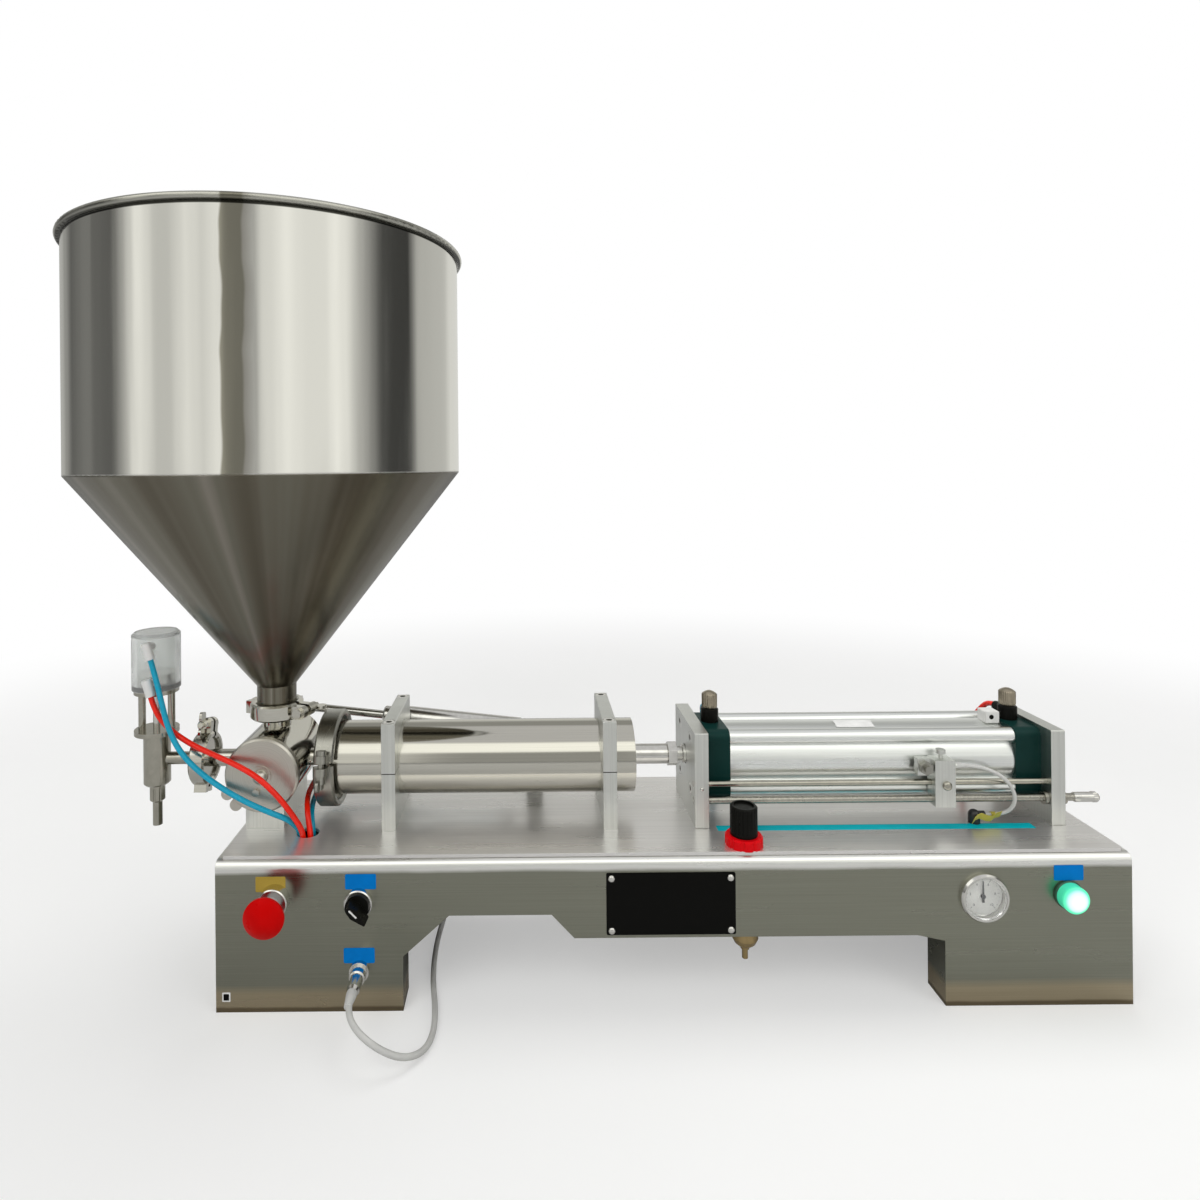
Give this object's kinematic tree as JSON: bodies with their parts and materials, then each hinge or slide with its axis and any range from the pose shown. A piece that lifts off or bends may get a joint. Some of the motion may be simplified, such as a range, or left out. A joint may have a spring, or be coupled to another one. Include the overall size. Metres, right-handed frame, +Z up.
{
  "type": "tabletop piston filling machine",
  "caption": "Tabletop pneumatic piston filler with a conical hopper, rotary product valve, side nozzle, air cylinder and foot pedal.",
  "frame": {"origin": "bottom centre of the cabinet, in the middle of the four bench bolt holes", "axes": "+X along the machine from the nozzle to the air cylinder, +Y from the control panel to the back, +Z up"},
  "size_m": [1.1304, 0.477, 0.7957],
  "materials": {
    "cabinet_steel": "satin, brushed along the length",
    "polished_steel": "polished",
    "hopper_steel": "smooth, darker inside",
    "bright_steel": "bright",
    "aluminium": "machined",
    "barrel_aluminium": "anodised",
    "black_steel": "blackened",
    "cap_green": "satin",
    "brass": "satin",
    "seal_rubber": "matt",
    "white_plastic": "matt",
    "ptfe": "smooth",
    "black_plastic": "matt",
    "grey_plastic": "matt",
    "red_plastic": "gloss",
    "green_lens": "gloss",
    "clear_plastic": "clear",
    "gauge_glass": "clear",
    "needle_black": "matt",
    "hose_blue": "gloss",
    "hose_red": "gloss",
    "cable_grey": "matt",
    "pedal_paint": "textured"
  },
  "bodies": {
    "machine": {"chassis": "cabinet_steel", "deck_plate": "cabinet_steel", "deck_supports": "aluminium", "socket_screws": "bright_steel", "valve_body": "polished_steel", "valve_cover": "polished_steel", "pump_tube": "polished_steel", "end_plates": "aluminium", "air_caps": "cap_green", "air_barrel": "barrel_aluminium", "flow_controls": "black_plastic", "guide_rod": "bright_steel", "hopper": "hopper_steel", "hopper_cone": "hopper_steel", "hopper_neck": "hopper_steel", "pump_clamp": "polished_steel", "pipe_clamps": "polished_steel", "nozzle_body": "polished_steel", "nozzle_drive": "clear_plastic", "push_fittings": "white_plastic", "actuator_barrel": "bright_steel", "panel_devices": "bright_steel", "lamp_lens": "green_lens", "gauge_case": "bright_steel", "gauge_lens": "gauge_glass", "regulator_body": "brass", "panel_ring": "red_plastic", "valve_block": "aluminium", "power_inlet": "black_plastic", "pedal_socket": "bright_steel", "pedal_plug": "bright_steel", "pedal_coil": "cable_grey", "pedal_base": "pedal_paint", "nozzle_hose_blue": "hose_blue", "nozzle_hose_red": "hose_red", "actuator_hose_blue": "hose_blue", "actuator_hose_red": "hose_red", "cylinder_hose_blue": "hose_blue", "cylinder_hose_red": "hose_red", "sensor_cable": "cable_grey", "pedal_cable": "cable_grey"},
    "piston": {"product_piston": "ptfe", "piston_seals": "seal_rubber", "piston_rod": "bright_steel", "air_rod": "bright_steel"},
    "rotor": {"valve_rotor": "ptfe", "valve_lever": "aluminium"},
    "actuator_rod": {"actuator_rod": "bright_steel"},
    "needle": {"nozzle_needle": "bright_steel"},
    "estop_stem": {"estop_stem": "grey_plastic"},
    "estop_head": {"estop_head": "red_plastic"},
    "selector": {"selector_knob": "black_plastic"},
    "regulator_knob": {"regulator_knob": "black_plastic"},
    "gauge_needle": {"gauge_needle": "needle_black"},
    "front_flow_knob": {"front_flow_knob": "brass"},
    "rear_flow_knob": {"rear_flow_knob": "brass"},
    "carriage": {"sensor_carriage": "aluminium", "reed_sensor": "bright_steel"},
    "lead_screw": {"lead_screw": "bright_steel"},
    "treadle": {"pedal_treadle": "pedal_paint"}
  },
  "joints": [
    {"name": "piston_slide", "type": "slide", "parent": "machine", "child": "piston", "axis": [-1, 0, 0], "range_m": [0, 0.22]},
    {"name": "valve_turn", "type": "hinge", "parent": "machine", "child": "rotor", "pos_m": [-0.436, 0.009, 0.218], "axis": [0, 1, 0], "range_deg": [0, 90]},
    {"name": "actuator_rod_slide", "type": "slide", "parent": "machine", "child": "actuator_rod", "axis": [0.9936, 0, -0.1132], "range_m": [0, 0.0736]},
    {"name": "nozzle_needle_slide", "type": "slide", "parent": "machine", "child": "needle", "axis": [0, 0, 1], "range_m": [0, 0.012]},
    {"name": "estop_press", "type": "slide", "parent": "machine", "child": "estop_stem", "axis": [0, 1, 0], "range_m": [0, 0.005], "stiffness_N_per_m": 1500, "springref_m": -0.002},
    {"name": "estop_twist", "type": "hinge", "parent": "estop_stem", "child": "estop_head", "pos_m": [-0.404, -0.134, 0.115], "axis": [0, 1, 0], "range_deg": [0, 40], "stiffness_Nm_per_rad": 0.3, "springref_deg": -11.46},
    {"name": "selector_turn", "type": "hinge", "parent": "machine", "child": "selector", "pos_m": [-0.3195, -0.11, 0.1105], "axis": [0, 1, 0], "range_deg": [0, 90]},
    {"name": "regulator_knob_turn", "type": "hinge", "parent": "machine", "child": "regulator_knob", "pos_m": [0.0776, -0.0786, 0.18], "axis": [0, 0, 1], "continuous": true},
    {"name": "gauge_needle_turn", "type": "hinge", "parent": "machine", "child": "gauge_needle", "pos_m": [0.3145, -0.098, 0.11], "axis": [0, 1, 0], "range_deg": [-135, 135], "stiffness_Nm_per_rad": 0.0005},
    {"name": "front_flow_turn", "type": "hinge", "parent": "machine", "child": "front_flow_knob", "pos_m": [0.0634, 0.009, 0.275], "axis": [0, 0, 1], "continuous": true},
    {"name": "rear_flow_turn", "type": "hinge", "parent": "machine", "child": "rear_flow_knob", "pos_m": [0.4074, 0.009, 0.275], "axis": [0, 0, 1], "continuous": true},
    {"name": "sensor_carriage_slide", "type": "slide", "parent": "machine", "child": "carriage", "axis": [-1, 0, 0], "range_m": [0, 0.2]},
    {"name": "lead_screw_turn", "type": "hinge", "parent": "machine", "child": "lead_screw", "pos_m": [0.45, -0.036, 0.183], "axis": [1, 0, 0], "continuous": true},
    {"name": "pedal_press", "type": "hinge", "parent": "machine", "child": "treadle", "pos_m": [-0.415, 0.235, 0.021], "axis": [0, 1, 0], "range_deg": [0, 6], "stiffness_Nm_per_rad": 8, "springref_deg": -9.74}
  ],
  "couplings": [
    {"joint": "actuator_rod_slide", "follows": "valve_turn", "m_per_rad": 0.046816},
    {"joint": "lead_screw_turn", "follows": "sensor_carriage_slide", "rad_per_m": 785.4}
  ]
}
